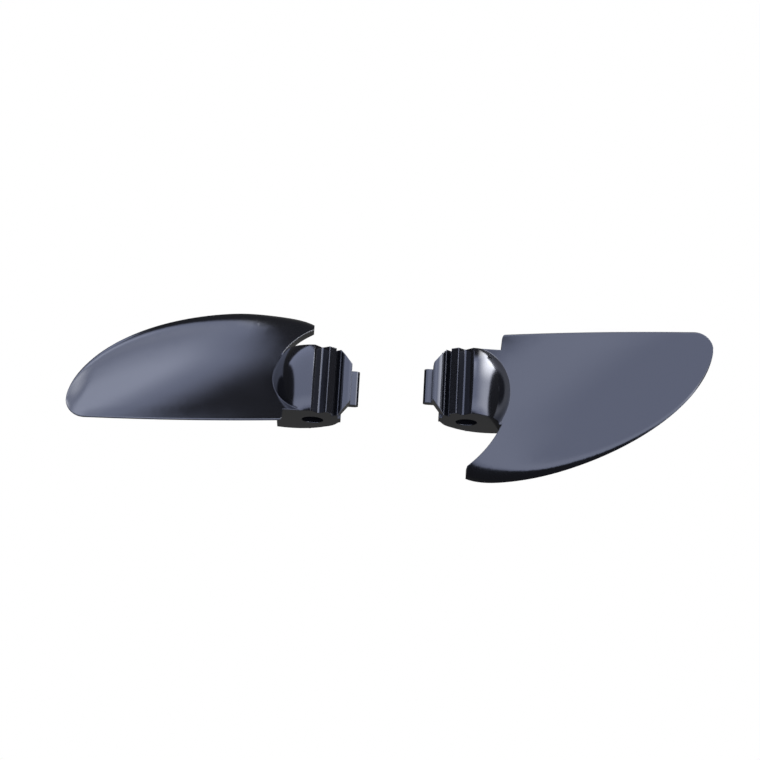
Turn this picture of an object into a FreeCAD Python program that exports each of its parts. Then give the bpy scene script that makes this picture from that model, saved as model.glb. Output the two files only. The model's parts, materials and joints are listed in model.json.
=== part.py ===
import FreeCAD, Part
import math
import os

import Sketcher

# Pair of geared folding propeller blades with the sleeves they pivot on.
#
# Row frame, millimetres: +Z runs along the shaft towards the side the blades fold to,
# X runs across the pair, Y runs along the pivot axes. The origin is midway between the
# two pivots, at their height. Each blade is built about its own pivot with +X outward
# along the blade, then placed; the left blade is the right one turned half a turn about Z.

V = FreeCAD.Vector
ALONG_Y = FreeCAD.Rotation(V(1, 0, 0), -90)

SIZES = {
    # how the pair is laid out
    "pivot_offset": 21.4,
    "pair_stagger": 1.05,
    # root of a blade
    "root_width": 19.0,
    "bore_radius": 3.0,
    "barrel_crown_radius": 12.05,
    "barrel_end_radius": 9.0,
    "lip_offset": 0.5,
    "foot_outer": 9.95,
    "foot_inner": 7.8,
    "foot_round_radius": 14.5,
    "foot_round_x": 5.9,
    "foot_depth": 9.7,
    "shelf_top": 6.7,
    "shelf_width": 1.9,
    "web_drop": 1.0,
    # gear ribs
    "gap_floor_radius": 7.15,
    "rib_tip_radius": 8.9,
    "rib_tip_width": 2.3,
    "rib_base_width": 3.8,
    "rib_angle": 119.0,
    "rib_lean": 125.0,
    "rib_sunk": 0.6,
    "lip_flank_run": 2.0,
    "lip_flank_edge": 0.02,
    # stop block and tab on the inner side of the root
    "block_reach": 10.1,
    "block_top": 6.9,
    "block_bottom": 2.8,
    "block_end_width": 10.6,
    "block_chamfer_start": 6.8,
    "block_round_radius": 3.2,
    "block_round_x": 9.3,
    "block_flank_start": 8.15,
    "block_flank_angle": 38.0,
    "block_near_side": 5.0,
    "tab_reach": 12.4,
    "tab_top": 1.45,
    "tab_thickness": 2.3,
    "tab_width": 9.8,
    "tab_round": 1.1,
    # outline of the blade
    "barb_end": 1.45,
    "tip_reach": 66.3,
    "tip_height": 11.75,
    "swept_edge_peak": 8.0,
    "swept_edge_reach": 24.2,
    "straight_edge_start": 12.4,
    "straight_edge_lean": 0.105,
    "straight_edge_bow": 0.00056,
    "tip_round_length": 5.3,
    "wing_step": 8.2,
    "wing_step_round": 1.1,
    "hub_round_radius": 26.0,
    "hub_round_x": 13.8,
    "hub_round_y": 1.3,
    "hub_round_overlap": 0.5,
    # pitch, lift and thickness of the blade
    "straight_edge_lift": 10.3,
    "straight_edge_rise": 0.052,
    "pitch_slope_root": 0.615,
    "pitch_slope_loss": 0.0070,
    "root_thickness": 5.0,
    "tip_thickness": 1.9,
    "camber_ratio": 0.062,
    "edge_droop": 0.2,
    "barb_droop": 1.5,
    "barb_droop_reach": 24.0,
    "edge_radius": 0.3,
    # sleeve inside each bore
    "sleeve_clearance": 0.05,
    "sleeve_recess": 4.0,
    "sleeve_hole_radius": 2.05,
}

# The swept edge is a quarter of a super-ellipse with these two powers.
SWEEP_POWER = 1.7
SWEEP_ROUND = 1.8
# Fall of the swept edge behind its peak, per millimetre squared.
BARB_DROP = 0.02
# The sections stand closer together towards the tip.
STATIONS = 15
STATION_POWER = 1.7
TIP_MARGIN = 0.04
FACE_POINTS = 9
# Makes the thickest place of a section, a third of the way in, exactly as thick as asked.
FULLNESS = 1.3
# Near the tip a section and its edges are never thicker than these shares of its chord.
THICKEST_SHARE = 0.2
EDGE_SHARE = 0.08
# Share of the chord, next to the swept edge, over which the section droops.
DROOP_SHARE = 0.26
# Two numbers closer than this are the same.
TINY = 1e-6
# How far cutting pieces reach past the surface they cut.
SPARE = 1.0

doc = FreeCAD.newDocument("folding_blades")
sheet = doc.addObject("Spreadsheet::Sheet", "sizes")


def fill_sheet():
    """Write every size into the sheet under its own name."""
    for row, (name, value) in enumerate(SIZES.items(), start=1):
        sheet.set(f"A{row}", name)
        sheet.set(f"B{row}", str(value))
        sheet.setAlias(f"B{row}", name)
    doc.recompute()


def size(name):
    """Return one size as the sheet holds it."""
    return float(sheet.get(name))


def bind(obj, **formulas):
    """Bind properties of an object to formulas over the sheet's names."""
    for prop, formula in formulas.items():
        obj.setExpression(prop, link(formula))


def link(formula):
    """Put the sheet's name in front of every size used in a formula."""
    for name in sorted(SIZES, key=len, reverse=True):
        formula = formula.replace(f"<{name}>", f"sizes.{name}")
    return formula


def add_box(name, low, high):
    """A box between two corners, each given as three formulas."""
    box = doc.addObject("Part::Box", name)
    for prop, a, b in zip(("Length", "Width", "Height"), low, high):
        bind(box, **{prop: f"({b}) - ({a})"})
    place(box, low)
    return box


def place(obj, formulas):
    """Bind the three coordinates of an object's placement."""
    for axis, formula in zip("xyz", formulas):
        obj.setExpression(f".Placement.Base.{axis}", link(formula))


def add_pin_cylinder(name, radius, length, x="0", z="0"):
    """A cylinder along Y, centred on the root's width."""
    rod = doc.addObject("Part::Cylinder", name)
    bind(rod, Radius=radius, Height=length)
    rod.Placement = FreeCAD.Placement(V(0, 0, 0), ALONG_Y)
    place(rod, (x, f"-({length}) / 2", z))
    return rod


def add_wedge(name, base, top, depth, height, turn, at):
    """A bar of trapezium section; base and top are its widths, height runs from one to the other."""
    bar = doc.addObject("Part::Wedge", name)
    bind(
        bar,
        Xmin=f"-({base}) / 2", Xmax=f"({base}) / 2",
        X2min=f"-({top}) / 2", X2max=f"({top}) / 2",
        Ymin="0", Ymax=height,
        Zmin=f"-({depth}) / 2", Zmax=f"({depth}) / 2",
        Z2min=f"-({depth}) / 2", Z2max=f"({depth}) / 2",
    )
    bar.Placement = FreeCAD.Placement(V(0, 0, 0), turn)
    place(bar, at)
    return bar


def combine(kind, name, *parts):
    """Join, cut or intersect parts into one named feature."""
    if kind == "Cut" or kind == "Common":
        feature = doc.addObject(f"Part::{kind}", name)
        feature.Base, feature.Tool = parts
    else:
        feature = doc.addObject("Part::MultiFuse", name)
        feature.Shapes = list(parts)
    return feature


def add_barrel(side):
    """Rounded front of the root: an arc turned about the pivot, kept outboard of the lip."""
    profile = doc.addObject("Sketcher::SketchObject", f"{side}_barrel_profile")
    half = size("root_width") / 2
    end = size("barrel_end_radius")
    crown = size("barrel_crown_radius")
    corners = [V(0, -half, 0), V(end, -half, 0), V(end, half, 0), V(0, half, 0)]
    floor = profile.addGeometry(Part.LineSegment(corners[0], corners[1]))
    arc = profile.addGeometry(Part.Arc(corners[1], V(crown, 0, 0), corners[2]))
    roof = profile.addGeometry(Part.LineSegment(corners[2], corners[3]))
    axis = profile.addGeometry(Part.LineSegment(corners[3], corners[0]))
    rules = [
        ("Coincident", floor, 2, arc, 1), ("Coincident", arc, 2, roof, 1),
        ("Coincident", roof, 2, axis, 1), ("Coincident", axis, 2, floor, 1),
        ("Horizontal", floor), ("Horizontal", roof), ("PointOnObject", floor, 1, -2),
        ("PointOnObject", roof, 2, -2), ("Symmetric", floor, 2, roof, 1, -1),
    ]
    for rule in rules:
        profile.addConstraint(Sketcher.Constraint(*rule))
    bulge = "(<barrel_crown_radius> - <barrel_end_radius>)"
    for name, rule, formula in (
        ("width", ("DistanceY", axis, 2, axis, 1, 2 * half), "<root_width>"),
        ("end", ("DistanceX", floor, 1, floor, 2, end), "<barrel_end_radius>"),
        (
            "round",
            ("Radius", arc, (half ** 2 + (crown - end) ** 2) / (2 * (crown - end))),
            f"(<root_width> * <root_width> / 4 + {bulge} * {bulge}) / (2 * {bulge})",
        ),
    ):
        index = profile.addConstraint(Sketcher.Constraint(*rule))
        profile.renameConstraint(index, name)
        profile.setExpression(f"Constraints.{name}", link(formula))
    turned = doc.addObject("Part::Revolution", f"{side}_barrel_turned")
    turned.Source = profile
    turned.Axis = V(0, 1, 0)
    turned.Angle = 360
    turned.Solid = True
    reach = f"<barrel_crown_radius> + {SPARE}"
    keep = add_box(
        f"{side}_barrel_keep",
        ("<lip_offset>", "-<root_width>", "-<foot_depth>"),
        (reach, "<root_width>", reach),
    )
    return combine("Common", f"{side}_barrel", turned, keep)


def add_foot(side):
    """Solid back of the root, rounded behind so that it clears the hub as the blade folds."""
    half = "<root_width> / 2"
    block = add_box(
        f"{side}_foot_block",
        ("-<foot_inner>", f"-{half}", "-<foot_depth>"),
        ("<foot_outer>", half, "0"),
    )
    roller = add_pin_cylinder(
        f"{side}_foot_round", "<foot_round_radius>", "<root_width>",
        "<foot_round_x>", "<foot_round_radius> - <foot_depth>",
    )
    shelf = add_box(
        f"{side}_foot_shelf",
        ("0", f"{half} - <shelf_width>", "-<foot_depth> / 2"),
        ("<foot_outer>", half, "<shelf_top>"),
    )
    web = add_box(
        f"{side}_foot_web",
        ("-<foot_inner>", f"-{half}", "-<web_drop>"),
        ("0", half, "<block_bottom>"),
    )
    return [combine("Common", f"{side}_foot", block, roller), shelf, web]


def add_gear_ribs(side):
    """Gear sector on the inner front quarter: a round core, one full rib and the lip's flank."""
    core = add_pin_cylinder(f"{side}_gear_core", "<gap_floor_radius>", "<root_width>")
    lean = math.radians(size("rib_lean"))
    outward = V(math.cos(lean), 0, math.sin(lean))
    turn = FreeCAD.Rotation(outward.cross(V(0, 1, 0)), outward, V(0, 1, 0), "ZXY")
    sunk = "(<gap_floor_radius> - <rib_sunk>)"
    rib = add_wedge(
        f"{side}_gear_rib", "<rib_base_width>", "<rib_tip_width>", "<root_width>",
        f"<rib_tip_radius> - {sunk}", turn,
        (f"{sunk} * cos(<rib_angle>)", "0", f"{sunk} * sin(<rib_angle>)"),
    )
    upright = FreeCAD.Rotation(V(-1, 0, 0), V(0, 0, 1), V(0, 1, 0), "ZXY")
    flank = add_wedge(
        f"{side}_lip_flank", "2 * <lip_flank_run>", "<lip_flank_edge>", "<root_width>",
        "<barrel_end_radius> - <gap_floor_radius> + <rib_sunk> / 2", upright,
        ("<lip_offset>", "0", "<gap_floor_radius> - <rib_sunk> / 2"),
    )
    return [core, rib, flank]


def add_stop_block(side):
    """Long last rib that meets the other blade: round top, sloping flank, ends bevelled in plan."""
    half = "<root_width> / 2"
    neck = add_box(
        f"{side}_block_neck",
        ("-<block_chamfer_start>", f"-{half}", "<block_bottom>"),
        ("-<block_near_side>", half, "<block_top>"),
    )
    inward = FreeCAD.Rotation(V(0, 1, 0), V(-1, 0, 0), V(0, 0, 1), "ZXY")
    nose = add_wedge(
        f"{side}_block_nose", "<root_width>", "<block_end_width>",
        "<block_top> - <block_bottom>", "<block_reach> - <block_chamfer_start>", inward,
        ("-<block_chamfer_start>", "0", "(<block_top> + <block_bottom>) / 2"),
    )
    roller = add_pin_cylinder(
        f"{side}_block_round", "<block_round_radius>", "<root_width>",
        "-<block_round_x>", "<block_top> - <block_round_radius>",
    )
    rounded = combine("Common", f"{side}_block_end", nose, roller)
    whole = combine("MultiFuse", f"{side}_block_whole", neck, rounded)
    shave = doc.addObject("Part::Box", f"{side}_block_flank")
    bind(shave, Length="<block_reach>", Width=f"<root_width> + 2 * {SPARE}", Height="<block_top>")
    slope = FreeCAD.Rotation(V(0, 1, 0), size("block_flank_angle"))
    shave.Placement = FreeCAD.Placement(V(0, 0, 0), slope)
    place(shave, ("-<block_flank_start>", f"-{half} - {SPARE}", "<block_top>"))
    return combine("Cut", f"{side}_stop_block", whole, shave)


def add_tab(side):
    """Small stop tab below the block, with the two long edges of its end rounded."""
    half = "<tab_width> / 2"
    tab = add_box(
        f"{side}_tab_block",
        ("-<tab_reach>", f"-{half}", "<tab_top> - <tab_thickness>"),
        (f"-<foot_inner> + {SPARE}", half, "<tab_top>"),
    )
    doc.recompute()
    rounded = doc.addObject("Part::Fillet", f"{side}_tab")
    rounded.Base = tab
    radius = size("tab_round")
    far = [
        index for index, edge in enumerate(tab.Shape.Edges, start=1)
        if all(abs(point.X + size("tab_reach")) < TINY for point in edge.Vertexes)
        and abs(edge.Vertexes[0].Z - edge.Vertexes[-1].Z) < TINY
    ]
    rounded.Edges = [(index, radius, radius) for index in far]
    return rounded


def swept_edge(x):
    """Distance of the long curved edge from the pivot's mid-plane, at a station."""
    peak = size("swept_edge_peak")
    if x <= peak:
        return size("swept_edge_reach") - BARB_DROP * (peak - x) ** 2
    share = (x - peak) / (size("tip_reach") - peak)
    rise = size("swept_edge_reach") + size("tip_height")
    return rise * (1 - share ** SWEEP_POWER) ** (1 / SWEEP_ROUND) - size("tip_height")


def straight_edge(x):
    """Distance of the nearly straight edge from the mid-plane, on the other side."""
    plain = size("straight_edge_start") + size("straight_edge_lean") * x
    plain -= size("straight_edge_bow") * x * x
    start = size("tip_reach") - size("tip_round_length")
    if x <= start:
        return plain
    share = (x - start) / size("tip_round_length")
    return size("tip_height") + (plain - size("tip_height")) * math.sqrt(1 - share * share)


def section(x):
    """Closed wire of the blade's section at a station: blunt at the swept edge, hollow in front."""
    high = size("straight_edge_lift") + size("straight_edge_rise") * x
    slope = size("pitch_slope_root") - size("pitch_slope_loss") * x
    back, front = straight_edge(x), swept_edge(x)
    chord = front + back
    radius = min(size("edge_radius"), chord * EDGE_SHARE)
    start = V(x, back, high)
    end = V(x, -front, high - slope * chord)
    along = (end - start).normalize()
    start += along * radius
    end -= along * radius
    normal = V(1, 0, 0).cross(along).normalize()
    if normal.z < 0:
        normal = -normal
    share = x / size("tip_reach")
    thick = size("root_thickness") + (size("tip_thickness") - size("root_thickness")) * share
    swell = min(thick, chord * THICKEST_SHARE) - 2 * radius
    sag = size("camber_ratio") * chord
    barb = max(0, 1 - x / size("barb_droop_reach")) * size("barb_droop")
    droop = (size("edge_droop") + barb) * min(1, chord / size("swept_edge_reach"))

    def point(part, side):
        bulge = FULLNESS * swell * math.sqrt(1 - part) * part
        bend = max(0, (part - 1) / DROOP_SHARE + 1)
        offset = side * (radius + bulge) - sag * 4 * part * (1 - part) - droop * bend * bend
        return start + (end - start) * part + normal * offset

    parts = [(1 - math.cos(math.pi * i / (FACE_POINTS - 1))) / 2 for i in range(FACE_POINTS)]
    upper = Part.BSplineCurve()
    upper.interpolate([point(part, 1) for part in parts])
    lower = Part.BSplineCurve()
    lower.interpolate([point(part, -1) for part in reversed(parts)])
    tip = (point(1, 1) + point(1, -1)) / 2 + along * radius
    nose = Part.Arc(point(1, 1), tip, point(1, -1))
    tail = Part.Arc(point(0, -1), start - along * radius, point(0, 1))
    return Part.Wire([edge.toShape() for edge in (upper, nose, lower, tail)])


def add_wing(side):
    """Twisted blade, lofted through its sections, then cut back to the shape of the hub."""
    inner, outer = size("barb_end"), size("tip_reach") - TIP_MARGIN
    stations = [
        outer - (outer - inner) * (1 - i / (STATIONS - 1)) ** STATION_POWER
        for i in range(STATIONS)
    ]
    loft = doc.addObject("Part::Feature", f"{side}_wing_loft")
    loft.Shape = Part.makeLoft([section(x) for x in stations], True, False)
    half = "<root_width> / 2"
    step = add_box(
        f"{side}_wing_step_cut",
        ("0", half, "0"),
        ("<wing_step>", "<root_width> * 2", "<root_width> * 2"),
    )
    drum = doc.addObject("Part::Cylinder", f"{side}_hub_round")
    bind(drum, Radius="<hub_round_radius>", Height="<root_width> * 3")
    place(drum, ("-<hub_round_x>", "<hub_round_y>", "-<root_width> * 2"))
    beside = add_box(
        f"{side}_hub_beside",
        ("0", "-<root_width> * 2", "-<root_width> * 2"),
        ("<hub_round_radius>", f"-{half} + <hub_round_overlap>", "<root_width>"),
    )
    hub_cut = combine("Common", f"{side}_hub_cut", drum, beside)
    stepped = combine("Cut", f"{side}_wing_stepped", loft, step)
    cornered = combine("Cut", f"{side}_wing_cornered", stepped, add_step_corner(side))
    return combine("Cut", f"{side}_wing", cornered, hub_cut)


def add_step_corner(side):
    """Cutter that rounds the outer corner of the step at the wing's inner end."""
    centre_x = "(<wing_step> + <wing_step_round>)"
    edge_y = f"(<straight_edge_start> + <straight_edge_lean> * {centre_x})"
    centre_y = f"({edge_y} - <wing_step_round>)"
    corner = add_box(
        f"{side}_corner_box",
        ("<wing_step> / 2", centre_y, "0"),
        (centre_x, f"{edge_y} + {SPARE}", "<root_width> * 2"),
    )
    post = doc.addObject("Part::Cylinder", f"{side}_corner_post")
    bind(post, Radius="<wing_step_round>", Height="<root_width> * 2")
    place(post, (centre_x, centre_y, "0"))
    return combine("Cut", f"{side}_corner_cut", corner, post)


def add_blade(side, turn, x, y):
    """One blade in one piece: wing, root, gear ribs, stop block and tab, with its bore."""
    parts = [add_wing(side), add_barrel(side), add_stop_block(side), add_tab(side)]
    parts += add_foot(side)
    parts += add_gear_ribs(side)
    solid = combine("MultiFuse", f"{side}_blade_solid", *parts)
    bore = add_pin_cylinder(
        f"{side}_bore", "<bore_radius> + <sleeve_clearance>", f"<root_width> + 2 * {SPARE}"
    )
    blade = combine("Cut", f"{side}_blade", solid, bore)
    blade.Placement = FreeCAD.Placement(V(0, 0, 0), FreeCAD.Rotation(V(0, 0, 1), turn))
    place(blade, (x, y, "0"))
    return blade


def add_sleeve(side, x, y):
    """Plain sleeve that the blade turns on."""
    length = "<root_width> - 2 * <sleeve_recess>"
    outer = add_pin_cylinder(f"{side}_sleeve_outer", "<bore_radius>", length)
    inner = add_pin_cylinder(f"{side}_sleeve_inner", "<sleeve_hole_radius>", "<root_width>")
    sleeve = combine("Cut", f"{side}_pivot_sleeve", outer, inner)
    place(sleeve, (x, y, "0"))
    return sleeve


def check(nodes):
    """Stop unless every feature computed and every node is one valid solid."""
    for obj in doc.Objects:
        if {"Invalid", "Error"} & set(obj.State):
            raise RuntimeError(f"{obj.Label} did not compute: {obj.State}")
    for node in nodes:
        if node.Shape.isNull() or not node.Shape.isValid():
            raise RuntimeError(f"{node.Label} has no valid shape")
        if len(node.Shape.Solids) != 1:
            raise RuntimeError(f"{node.Label} has {len(node.Shape.Solids)} solids")


def main():
    """Build, check and write every node."""
    fill_sheet()
    nodes = [
        add_blade("left", 180, "-<pivot_offset>", "-<pair_stagger>"),
        add_blade("right", 0, "<pivot_offset>", "<pair_stagger>"),
        add_sleeve("left", "-<pivot_offset>", "-<pair_stagger>"),
        add_sleeve("right", "<pivot_offset>", "<pair_stagger>"),
    ]
    doc.recompute()
    check(nodes)
    os.makedirs("parts", exist_ok=True)
    for node in nodes:
        node.Shape.exportStep(f"parts/{node.Label}.step")
        box = node.Shape.BoundBox
        print(f"{node.Label}: {box.XLength:.2f} x {box.YLength:.2f} x {box.ZLength:.2f} mm,"
              f" {node.Shape.Volume:.0f} mm3")


main()
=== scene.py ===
"""Looks of a pair of geared folding propeller blades in black moulded plastic.

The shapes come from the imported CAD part, in metres, with the shaft along +Z. This script
gives every piece its finish and sets up the floor, the studio light and the camera.
"""

import json
import logging
import math
from dataclasses import dataclass
from enum import Enum
from typing import Any

import bpy
from mathutils import Matrix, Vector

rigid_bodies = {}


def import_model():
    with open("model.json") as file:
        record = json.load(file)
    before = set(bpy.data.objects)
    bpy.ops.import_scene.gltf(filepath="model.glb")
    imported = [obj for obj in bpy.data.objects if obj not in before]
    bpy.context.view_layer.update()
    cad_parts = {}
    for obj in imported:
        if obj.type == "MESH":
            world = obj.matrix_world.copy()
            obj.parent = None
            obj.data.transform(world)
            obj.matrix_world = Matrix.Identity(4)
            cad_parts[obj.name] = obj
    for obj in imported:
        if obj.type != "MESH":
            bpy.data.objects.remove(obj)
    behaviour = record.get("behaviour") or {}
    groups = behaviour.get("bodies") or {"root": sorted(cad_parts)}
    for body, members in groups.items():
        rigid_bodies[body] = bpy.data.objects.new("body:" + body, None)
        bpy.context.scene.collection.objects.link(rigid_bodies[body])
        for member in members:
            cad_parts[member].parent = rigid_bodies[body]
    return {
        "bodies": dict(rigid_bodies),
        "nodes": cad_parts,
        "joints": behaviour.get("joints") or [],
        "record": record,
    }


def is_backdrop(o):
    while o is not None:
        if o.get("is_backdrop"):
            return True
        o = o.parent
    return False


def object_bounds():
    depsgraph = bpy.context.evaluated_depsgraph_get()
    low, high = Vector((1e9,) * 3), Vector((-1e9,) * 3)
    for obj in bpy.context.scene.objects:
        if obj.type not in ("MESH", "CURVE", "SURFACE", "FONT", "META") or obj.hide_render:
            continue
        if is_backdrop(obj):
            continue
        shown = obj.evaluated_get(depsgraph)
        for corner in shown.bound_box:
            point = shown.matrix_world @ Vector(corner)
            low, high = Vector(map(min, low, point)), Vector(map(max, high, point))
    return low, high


log = logging.getLogger("scene")

MM = 0.001
# Blender's wave texture turns through this many radians over one unit of its scale.
WAVE_TURN = 20.0
# Blender's noise mostly stays between these two values.
NOISE_RANGE = (0.3, 0.7)


class Side(Enum):
    """Which blade of the pair a piece belongs to."""

    LEFT = "left"
    RIGHT = "right"


@dataclass(frozen=True)
class PlasticFinish:
    """Black moulded plastic, polished in the mould.

    Attributes:
        colour: Body colour as sRGB hex.
        roughness: Blur of the reflections on the flat faces.
        roughness_spread: How far the roughness wanders up and down over a face.
        wander_mm: Size of the patches over which the roughness wanders.
        wander_detail: How many finer layers lie over those patches.
        grain_mm: Size of the faint unevenness left by the mould.
        grain_detail: How many finer layers lie over that unevenness.
        grain_height_mm: Height of that unevenness.
        edge_mm: Radius of the rounding that the mould leaves on every edge.
        edge_samples: How many rays find the rounded edges.
        ior: Refractive index.
    """

    colour: str
    roughness: float
    roughness_spread: float
    wander_mm: float
    wander_detail: float
    grain_mm: float
    grain_detail: float
    grain_height_mm: float
    edge_mm: float
    edge_samples: int
    ior: float


@dataclass(frozen=True)
class SteelFinish:
    """Turned steel, blackened by an oxide bath.

    Attributes:
        colour: Metal colour as sRGB hex.
        roughness: Blur of the reflections.
        groove_mm: Pitch of the fine turning marks along the sleeve.
        groove_height_mm: Depth of those marks.
        groove_wobble: How far the marks stray from straight rings.
    """

    colour: str
    roughness: float
    groove_mm: float
    groove_height_mm: float
    groove_wobble: float


@dataclass(frozen=True)
class Panel:
    """One flat light panel of the studio, far away, given by where it stands in the sky.

    Places in the sky are the X and Y parts of the direction from the object.

    Attributes:
        name: Name of the light.
        across: Lowest and highest X of the lit area.
        along: Lowest and highest Y of the lit area.
        fade_across: How far the light takes to fade in and out along X.
        fade_along: How far the light takes to fade in and out along Y.
        strength: Radiance of the middle.
        colour: Colour as sRGB hex.
    """

    name: str
    across: tuple[float, float]
    along: tuple[float, float]
    fade_across: tuple[float, float]
    fade_along: tuple[float, float]
    strength: float
    colour: str


@dataclass(frozen=True)
class CameraSetup:
    """Camera that looks down on the pair, nearly along the shaft.

    Attributes:
        tilt_deg: Lean of the view away from the shaft, towards -Y.
        yaw_deg: Turn of the view about the Y axis.
        roll_deg: Turn of the picture, clockwise positive.
        distance_mm: Distance to the plane through the pivots.
        shift_mm: How far the origin lies right of and above the middle of the picture.
        lens_mm: Focal length.
        sensor_mm: Width of the sensor.
        reach_m: Nearest and farthest distance that it sees.
    """

    tilt_deg: float = 17.56
    yaw_deg: float = 1.42
    roll_deg: float = 3.30
    distance_mm: float = 473.5
    shift_mm: tuple[float, float] = (3.16, -2.37)
    lens_mm: float = 80.1
    sensor_mm: float = 36.0
    reach_m: tuple[float, float] = (0.01, 50.0)


# Glass-filled nylon, dyed black right through and moulded against polished steel, so that it
# shows the lights as clear shapes with soft edges.
BLADE_PLASTIC = PlasticFinish(
    colour="#070708",
    roughness=0.12,
    roughness_spread=0.02,
    wander_mm=14.0,
    wander_detail=2.0,
    grain_mm=0.9,
    grain_detail=1.0,
    grain_height_mm=0.0012,
    edge_mm=0.32,
    edge_samples=6,
    ior=1.5,
)
# Steel tube, turned to length and blackened in a hot oxide bath, so that it is dark and dull
# with fine rings.
SLEEVE_STEEL = SteelFinish(
    colour="#3a3a3c",
    roughness=0.42,
    groove_mm=0.25,
    groove_height_mm=0.004,
    groove_wobble=0.4,
)
# Soft boxes over the object; the strongest stands at its far right.
STUDIO = (
    Panel("ceiling", (-0.80, 0.79), (-0.73, 0.84), (0.04, 0.06), (0.04, 0.10), 4.0, "#cdd8ff"),
    Panel("back_left", (-0.80, -0.14), (0.94, 0.97), (0.04, 0.10), (0.10, 0.02), 4.0, "#cdd8ff"),
    Panel("front", (-0.78, 0.45), (-0.68, -0.58), (0.06, 0.15), (0.04, 0.25), 1.0, "#e6ecff"),
    Panel("side", (0.72, 0.78), (-0.50, 0.90), (0.45, 0.06), (0.22, 0.10), 4.2, "#f6f8ff"),
    Panel("key", (0.70, 0.77), (0.90, 1.20), (0.42, 0.06), (0.75, 0.10), 17.0, "#fbfcff"),
    Panel("rear", (0.35, 0.50), (0.92, 1.20), (0.08, 0.15), (0.10, 0.10), 5.0, "#f6f8ff"),
    Panel("strip", (-0.02, 0.17), (0.46, 0.73), (0.12, 0.16), (0.24, 0.12), 3.4, "#e6ecff"),
)


def linear(hex_colour: str) -> tuple[float, float, float, float]:
    """Turn an sRGB hex colour into the linear colour that Blender's sockets take.

    Args:
        hex_colour: Colour such as "#0b0b0c".

    Returns:
        Linear red, green and blue, with alpha 1.
    """
    channels = [int(hex_colour[i : i + 2], 16) / 255 for i in (1, 3, 5)]
    red, green, blue = (
        c / 12.92 if c <= 0.04045 else ((c + 0.055) / 1.055) ** 2.4 for c in channels
    )
    return red, green, blue, 1.0


def add_node(
    tree: bpy.types.NodeTree,
    kind: str,
    inputs: dict[Any, Any] | None = None,
    **settings: Any,
) -> bpy.types.Node:
    """Add a shader node with its settings, values and links.

    Args:
        tree: Node tree to add to.
        kind: Blender's node type.
        inputs: Input name or number to a plain value, or to an output socket to link.
        **settings: Properties of the node itself.

    Returns:
        The new node.
    """
    node = tree.nodes.new(kind)
    for name, value in settings.items():
        setattr(node, name, value)
    for name, value in (inputs or {}).items():
        if isinstance(value, bpy.types.NodeSocket):
            tree.links.new(value, node.inputs[name])
        else:
            node.inputs[name].default_value = value
    return node


def empty_material(name: str) -> tuple[bpy.types.Material, bpy.types.NodeTree]:
    """Make a material with an empty node tree.

    Args:
        name: Name of the material.

    Returns:
        The material and its tree.
    """
    material = bpy.data.materials.new(name)
    material.use_nodes = True
    material.node_tree.nodes.clear()
    return material, material.node_tree


@dataclass
class BladePair:
    """The two moulded blades.

    Each blade is one piece of glass-filled plastic, injection moulded in a polished mould.

    Attributes:
        frame: The CAD frame.
        finish: Finish of both blades.
    """

    frame: dict[str, Any]
    finish: PlasticFinish

    def material(self, side: Side) -> bpy.types.Material:
        """Make the black plastic of one blade.

        Args:
            side: Which blade.

        Returns:
            The material.
        """
        finish = self.finish
        material, tree = empty_material(f"{side.value}_blade_plastic")
        place = add_node(tree, "ShaderNodeTexCoord").outputs["Object"]
        # The mould's polish is a little uneven, so the sheen wanders over each face.
        wander = add_node(
            tree,
            "ShaderNodeTexNoise",
            {
                "Vector": place,
                "Scale": 1 / (finish.wander_mm * MM),
                "Detail": finish.wander_detail,
            },
        )
        sheen = add_node(
            tree,
            "ShaderNodeMapRange",
            {
                "Value": wander.outputs["Fac"],
                "From Min": NOISE_RANGE[0],
                "From Max": NOISE_RANGE[1],
                "To Min": finish.roughness - finish.roughness_spread,
                "To Max": finish.roughness + finish.roughness_spread,
            },
        )
        # Faint ripple where the melt cooled against the mould.
        grain = add_node(
            tree,
            "ShaderNodeTexNoise",
            {
                "Vector": place,
                "Scale": 1 / (finish.grain_mm * MM),
                "Detail": finish.grain_detail,
            },
        )
        # Every moulded edge is slightly round and catches a thin line of light.
        edge = add_node(
            tree,
            "ShaderNodeBevel",
            {"Radius": finish.edge_mm * MM},
            samples=finish.edge_samples,
        )
        ripple = add_node(
            tree,
            "ShaderNodeBump",
            {
                "Height": grain.outputs["Fac"],
                "Distance": finish.grain_height_mm * MM,
                "Strength": 1.0,
                "Normal": edge.outputs["Normal"],
            },
        )
        surface = add_node(
            tree,
            "ShaderNodeBsdfPrincipled",
            {
                "Base Color": linear(finish.colour),
                "Roughness": sheen.outputs["Result"],
                "IOR": finish.ior,
                "Normal": ripple.outputs["Normal"],
            },
        )
        add_node(tree, "ShaderNodeOutputMaterial", {"Surface": surface.outputs["BSDF"]})
        return material

    def build(self) -> None:
        """Give both blades their finish."""
        for side in Side:
            node = self.frame["nodes"][f"{side.value}_blade"]
            node.data.materials.clear()
            node.data.materials.append(self.material(side))
            log.info("%s blade finished", side.value)


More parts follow.
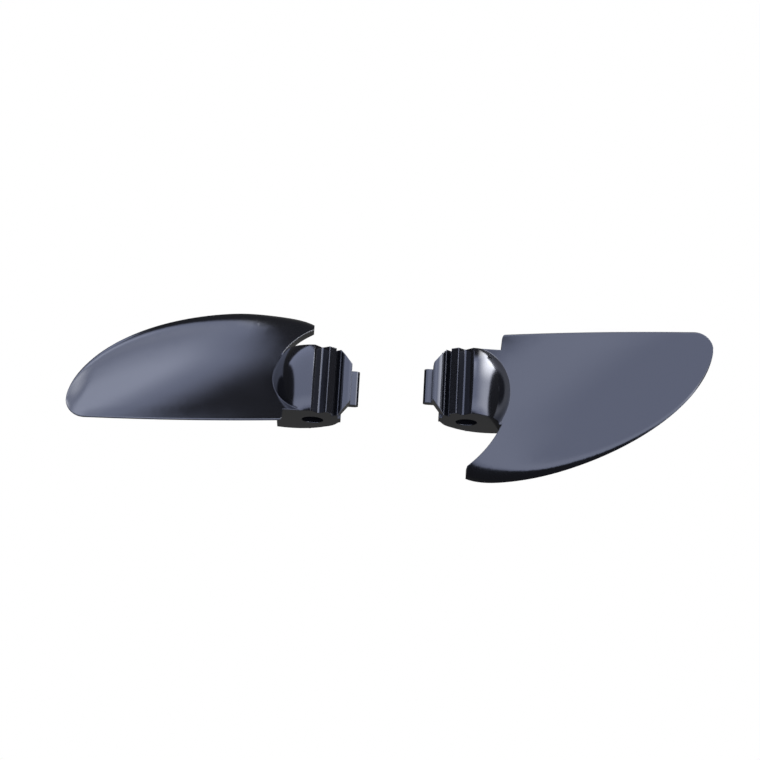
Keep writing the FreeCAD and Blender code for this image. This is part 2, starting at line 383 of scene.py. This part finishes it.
@dataclass
class PivotSleeves:
    """The two sleeves that the blades turn on, turned from steel tube and blackened.

    Attributes:
        frame: The CAD frame.
        finish: Finish of both sleeves.
    """

    frame: dict[str, Any]
    finish: SteelFinish

    def material(self) -> bpy.types.Material:
        """Make the blackened turned steel.

        Returns:
            The material.
        """
        finish = self.finish
        material, tree = empty_material("sleeve_steel")
        place = add_node(tree, "ShaderNodeTexCoord").outputs["Object"]
        # Lathe marks run round the sleeve, one after another along its length.
        marks = add_node(
            tree,
            "ShaderNodeTexWave",
            {
                "Vector": place,
                "Scale": 2 * math.pi / (WAVE_TURN * finish.groove_mm * MM),
                "Distortion": finish.groove_wobble,
            },
            bands_direction="Y",
        )
        relief = add_node(
            tree,
            "ShaderNodeBump",
            {
                "Height": marks.outputs["Fac"],
                "Distance": finish.groove_height_mm * MM,
                "Strength": 1.0,
            },
        )
        surface = add_node(
            tree,
            "ShaderNodeBsdfPrincipled",
            {
                "Base Color": linear(finish.colour),
                "Metallic": 1.0,
                "Roughness": finish.roughness,
                "Normal": relief.outputs["Normal"],
            },
        )
        add_node(tree, "ShaderNodeOutputMaterial", {"Surface": surface.outputs["BSDF"]})
        return material

    def build(self) -> None:
        """Give both sleeves their finish."""
        steel = self.material()
        for side in Side:
            node = self.frame["nodes"][f"{side.value}_pivot_sleeve"]
            node.data.materials.clear()
            node.data.materials.append(steel)
            log.info("%s sleeve finished", side.value)


@dataclass
class Studio:
    """White floor, soft lights and camera.

    Attributes:
        panels: The light panels.
        setup: The camera's setup.
        floor_size: Side of the floor, in metres.
        floor_glow: Faint light that comes from straight below.
        room_glow: Faint light that comes from the dark room around and above.
        glow_span: Heights of the direction between which the two glows blend.
        horizon_fade: Height above the horizon over which every panel fades in.
    """

    panels: tuple[Panel, ...]
    setup: CameraSetup
    floor_size: float = 12.0
    floor_glow: float = 0.13
    room_glow: float = 0.08
    glow_span: tuple[float, float] = (-0.9, -0.1)
    horizon_fade: float = 0.04

    def lay_floor(self, lowest: float) -> None:
        """Lay a plain white floor under the object, lit evenly so that it shows no shadow.

        Args:
            lowest: Height of the object's lowest point, in metres.
        """
        half = self.floor_size / 2
        mesh = bpy.data.meshes.new("floor")
        corners = [(-half, -half, 0), (half, -half, 0), (half, half, 0), (-half, half, 0)]
        mesh.from_pydata(corners, [], [(0, 1, 2, 3)])
        floor = bpy.data.objects.new("floor", mesh)
        bpy.context.scene.collection.objects.link(floor)
        floor.location.z = lowest
        # A white acrylic sheet, lit evenly from behind.
        material, tree = empty_material("floor_white")
        glow = add_node(
            tree, "ShaderNodeEmission", {"Color": (1.0, 1.0, 1.0, 1.0), "Strength": 1.0}
        )
        add_node(tree, "ShaderNodeOutputMaterial", {"Surface": glow.outputs["Emission"]})
        mesh.materials.append(material)
        # The black plastic mirrors the dark studio below it, not the floor.
        floor.visible_glossy = False
        floor.visible_diffuse = False
        floor.visible_shadow = False
        floor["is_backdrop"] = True
        log.info("floor laid at %.1f mm", lowest / MM)

    def hang_lights(self) -> None:
        """Hang the light panels in the sky over the object, in a dark room."""
        world = bpy.data.worlds.new("studio")
        bpy.context.scene.world = world
        world.use_nodes = True
        tree = world.node_tree
        tree.nodes.clear()
        sky = add_node(tree, "ShaderNodeTexCoord").outputs["Generated"]
        parts = add_node(tree, "ShaderNodeSeparateXYZ", {"Vector": sky})
        total = self.room_light(tree, parts.outputs["Z"])
        for panel in self.panels:
            total = add_node(
                tree,
                "ShaderNodeVectorMath",
                {0: total, 1: self.panel_light(tree, parts, panel)},
                operation="ADD",
            ).outputs[0]
        room = add_node(tree, "ShaderNodeBackground", {"Color": total, "Strength": 1.0})
        backdrop = add_node(
            tree, "ShaderNodeBackground", {"Color": (1.0, 1.0, 1.0, 1.0), "Strength": 1.0}
        )
        seen = add_node(tree, "ShaderNodeLightPath").outputs["Is Camera Ray"]
        both = add_node(
            tree,
            "ShaderNodeMixShader",
            {0: seen, 1: room.outputs[0], 2: backdrop.outputs[0]},
        )
        add_node(tree, "ShaderNodeOutputWorld", {"Surface": both.outputs[0]})
        log.info("%d light panels hung", len(self.panels))

    def room_light(
        self, tree: bpy.types.NodeTree, height: bpy.types.NodeSocket
    ) -> bpy.types.NodeSocket:
        """Give the dark room its faint glow, less above the horizon than below it.

        Args:
            tree: The world's node tree.
            height: Z part of the ray's direction.

        Returns:
            The colour output.
        """
        share = add_node(
            tree,
            "ShaderNodeMapRange",
            {
                "Value": height,
                "From Min": self.glow_span[0],
                "From Max": self.glow_span[1],
                "To Min": self.floor_glow,
                "To Max": self.room_glow,
            },
            interpolation_type="SMOOTHSTEP",
        )
        return add_node(
            tree,
            "ShaderNodeVectorMath",
            {0: (1.0, 1.0, 1.0), "Scale": share.outputs["Result"]},
            operation="SCALE",
        ).outputs[0]

    def panel_light(
        self, tree: bpy.types.NodeTree, parts: bpy.types.Node, panel: Panel
    ) -> bpy.types.NodeSocket:
        """Add one light panel to the sky.

        Args:
            tree: The world's node tree.
            parts: Node that holds the three parts of the ray's direction.
            panel: The light.

        Returns:
            The colour output.
        """
        left, right = panel.across
        near, far = panel.along
        # Where each side of the panel is dark, and where it is fully lit.
        sides = (
            ("Z", 0.0, self.horizon_fade),
            ("X", left - panel.fade_across[0], left),
            ("X", right + panel.fade_across[1], right),
            ("Y", near - panel.fade_along[0], near),
            ("Y", far + panel.fade_along[1], far),
        )
        share = panel.strength
        for axis, dark, lit in sides:
            step = add_node(
                tree,
                "ShaderNodeMapRange",
                {"Value": parts.outputs[axis], "From Min": dark, "From Max": lit},
                interpolation_type="SMOOTHSTEP",
            )
            share = add_node(
                tree,
                "ShaderNodeMath",
                {0: share, 1: step.outputs["Result"]},
                operation="MULTIPLY",
            ).outputs[0]
        return add_node(
            tree,
            "ShaderNodeVectorMath",
            {0: linear(panel.colour)[:3], "Scale": share},
            operation="SCALE",
            label=panel.name,
        ).outputs[0]

    def set_camera(self) -> None:
        """Stand the camera at the viewing angle and make it the scene's camera."""
        setup = self.setup
        tilt, yaw, roll = (
            math.radians(a) for a in (setup.tilt_deg, setup.yaw_deg, setup.roll_deg)
        )
        turn = (
            Matrix.Rotation(-yaw, 3, "Y")
            @ Matrix.Rotation(tilt, 3, "X")
            @ Matrix.Rotation(roll, 3, "Z")
        )
        right, up, back = (turn.col[i] for i in range(3))
        data = bpy.data.cameras.new("camera")
        data.sensor_width = setup.sensor_mm
        data.lens = setup.lens_mm
        data.clip_start, data.clip_end = setup.reach_m
        camera = bpy.data.objects.new("camera", data)
        bpy.context.scene.collection.objects.link(camera)
        spot = (
            back * setup.distance_mm - right * setup.shift_mm[0] - up * setup.shift_mm[1]
        )
        camera.matrix_world = Matrix.Translation(spot * MM) @ turn.to_4x4()
        bpy.context.scene.camera = camera
        log.info("camera set")

    def build(self, lowest: float) -> None:
        """Build the whole studio.

        Args:
            lowest: Height of the object's lowest point, in metres.
        """
        self.lay_floor(lowest)
        self.hang_lights()
        self.set_camera()
        bpy.context.scene.view_settings.view_transform = "Standard"


def plain(bounds: Any) -> list[list[float]]:
    """Turn a pair of corners into plain lists.

    Args:
        bounds: Lowest and highest corner.

    Returns:
        The same corners as lists of numbers.
    """
    return [[float(value) for value in corner] for corner in bounds]


def main() -> None:
    """Load the CAD frame, finish each sub-assembly and set up the studio."""
    logging.basicConfig(level=logging.INFO, format="%(name)s: %(message)s")
    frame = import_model()
    before = plain(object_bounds())
    BladePair(frame, BLADE_PLASTIC).build()
    PivotSleeves(frame, SLEEVE_STEEL).build()
    Studio(STUDIO, CameraSetup()).build(before[0][2])


if __name__ == "__main__":
    main()
